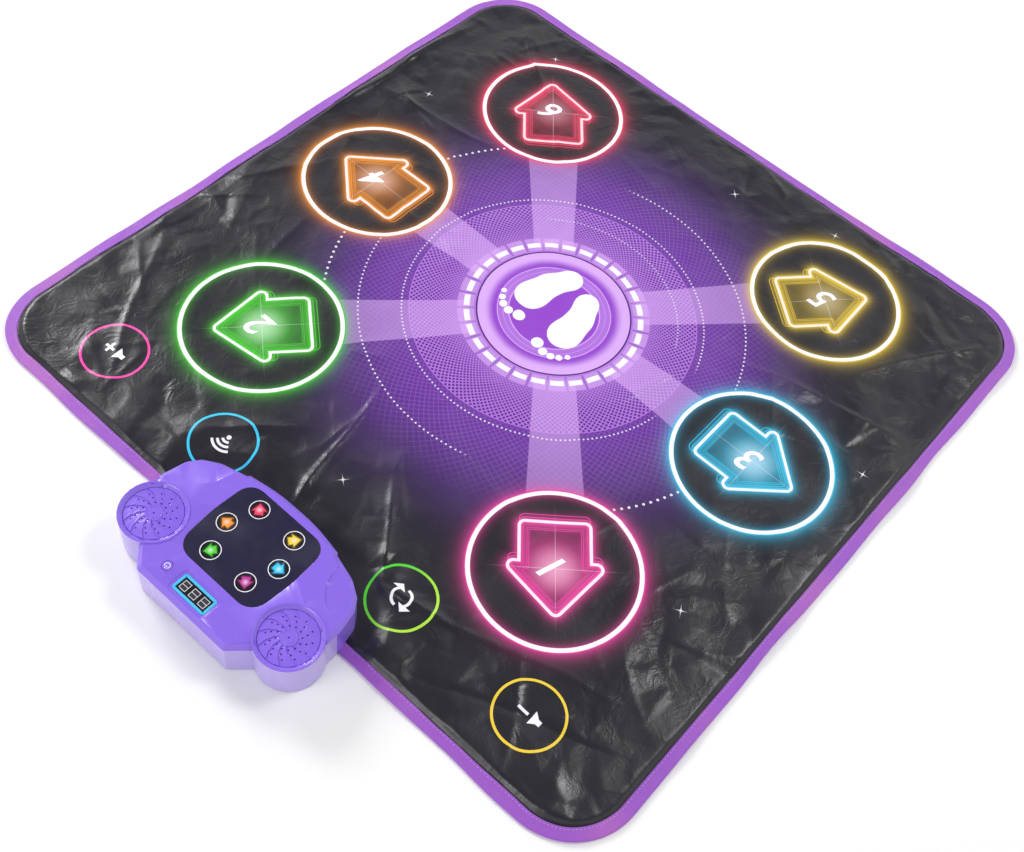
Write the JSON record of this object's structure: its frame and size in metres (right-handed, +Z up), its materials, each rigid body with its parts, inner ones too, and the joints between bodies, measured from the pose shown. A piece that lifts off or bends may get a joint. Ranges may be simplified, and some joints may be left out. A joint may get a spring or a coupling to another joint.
{
  "type": "electronic dance mat",
  "caption": "Foldable floor mat with pressure-sensing dance pads and a clamped control box with speakers, an indicator window and a score display.",
  "frame": {"origin": "centre of the mat's underside, on the floor", "axes": "+Z up from the floor, +Y away from the control box along the mat, +X to the right as seen from the control box looking along +Y"},
  "size_m": [0.92, 1.0205, 0.053],
  "materials": {
    "cover_vinyl": "glossy crinkled printed vinyl sheet",
    "pad_vinyl": "glossy printed vinyl with a bonded contact patch",
    "binding_tape": "satin woven binding tape, sewn",
    "contact_film": "clear polyester film with printed tracks",
    "spacer_foam": "thin closed-cell foam sheet",
    "base_foam": "non-slip foam sheet",
    "purple_plastic": "satin-gloss moulded plastic",
    "lavender_plastic": "satin moulded plastic",
    "black_plastic": "moulded plastic",
    "smoked_window": "smoked glossy window",
    "cyan_bezel": "glossy cyan plastic",
    "display_black": "dark display face",
    "circuit_board": "green solder mask",
    "driver_black": "loudspeaker cone, basket and magnet",
    "cell_jacket": "dry cell jacket",
    "steel": "plated steel",
    "foot_rubber": "moulded rubber"
  },
  "bodies": {
    "mat_body": {"battery_cell_1": "cell_jacket", "battery_cell_2": "cell_jacket", "battery_cell_3": "cell_jacket", "battery_contact_left": "steel", "battery_contact_right": "steel", "clamp_screw_1": "steel", "clamp_screw_2": "steel", "clamp_screw_3": "steel", "clamp_screw_4": "steel", "contact_tail": "contact_film", "display_bezel": "cyan_bezel", "display_board": "circuit_board", "display_module": "display_black", "edge_binding": "binding_tape", "foam_spacer": "spacer_foam", "housing_screw_1": "steel", "housing_screw_2": "steel", "housing_screw_3": "steel", "housing_screw_4": "steel", "indicator_board": "circuit_board", "lower_contact_film": "contact_film", "lower_shell": "lavender_plastic", "main_board": "circuit_board", "mat_clamp_plate": "black_plastic", "mat_top_cover": "cover_vinyl", "non_slip_base": "base_foam", "panel_window": "smoked_window", "power_switch": "black_plastic", "rubber_foot_1": "foot_rubber", "rubber_foot_2": "foot_rubber", "rubber_foot_3": "foot_rubber", "rubber_foot_4": "foot_rubber", "speaker_driver_left": "driver_black", "speaker_driver_right": "driver_black", "speaker_grille_left": "purple_plastic", "speaker_grille_right": "purple_plastic", "upper_contact_film": "contact_film", "upper_shell": "purple_plastic"},
    "step_pad_1": {"step_pad_1": "pad_vinyl"},
    "step_pad_2": {"step_pad_2": "pad_vinyl"},
    "step_pad_3": {"step_pad_3": "pad_vinyl"},
    "step_pad_4": {"step_pad_4": "pad_vinyl"},
    "step_pad_5": {"step_pad_5": "pad_vinyl"},
    "step_pad_6": {"step_pad_6": "pad_vinyl"},
    "volume_up_pad": {"volume_up_pad": "pad_vinyl"},
    "volume_down_pad": {"volume_down_pad": "pad_vinyl"},
    "wireless_pad": {"wireless_pad": "pad_vinyl"},
    "mode_pad": {"mode_pad": "pad_vinyl"},
    "power_button": {"power_button": "purple_plastic"},
    "battery_door": {"battery_door": "lavender_plastic", "battery_door_screw": "steel"}
  },
  "joints": [
    {"name": "step_pad_1_press", "type": "slide", "parent": "mat_body", "child": "step_pad_1", "axis": [0, 0, -1], "range_m": [0, 0.0023], "stiffness_N_per_m": 3000},
    {"name": "step_pad_2_press", "type": "slide", "parent": "mat_body", "child": "step_pad_2", "axis": [0, 0, -1], "range_m": [0, 0.0023], "stiffness_N_per_m": 3000},
    {"name": "step_pad_3_press", "type": "slide", "parent": "mat_body", "child": "step_pad_3", "axis": [0, 0, -1], "range_m": [0, 0.0023], "stiffness_N_per_m": 3000},
    {"name": "step_pad_4_press", "type": "slide", "parent": "mat_body", "child": "step_pad_4", "axis": [0, 0, -1], "range_m": [0, 0.0023], "stiffness_N_per_m": 3000},
    {"name": "step_pad_5_press", "type": "slide", "parent": "mat_body", "child": "step_pad_5", "axis": [0, 0, -1], "range_m": [0, 0.0023], "stiffness_N_per_m": 3000},
    {"name": "step_pad_6_press", "type": "slide", "parent": "mat_body", "child": "step_pad_6", "axis": [0, 0, -1], "range_m": [0, 0.0023], "stiffness_N_per_m": 3000},
    {"name": "volume_up_pad_press", "type": "slide", "parent": "mat_body", "child": "volume_up_pad", "axis": [0, 0, -1], "range_m": [0, 0.0023], "stiffness_N_per_m": 2000},
    {"name": "volume_down_pad_press", "type": "slide", "parent": "mat_body", "child": "volume_down_pad", "axis": [0, 0, -1], "range_m": [0, 0.0023], "stiffness_N_per_m": 2000},
    {"name": "wireless_pad_press", "type": "slide", "parent": "mat_body", "child": "wireless_pad", "axis": [0, 0, -1], "range_m": [0, 0.0023], "stiffness_N_per_m": 2000},
    {"name": "mode_pad_press", "type": "slide", "parent": "mat_body", "child": "mode_pad", "axis": [0, 0, -1], "range_m": [0, 0.0023], "stiffness_N_per_m": 2000},
    {"name": "power_button_press", "type": "slide", "parent": "mat_body", "child": "power_button", "axis": [0, 0, -1], "range_m": [0, 0.0008], "stiffness_N_per_m": 1200},
    {"name": "battery_door_release", "type": "slide", "parent": "mat_body", "child": "battery_door", "axis": [0, 0, -1], "range_m": [0, 0.02]}
  ]
}
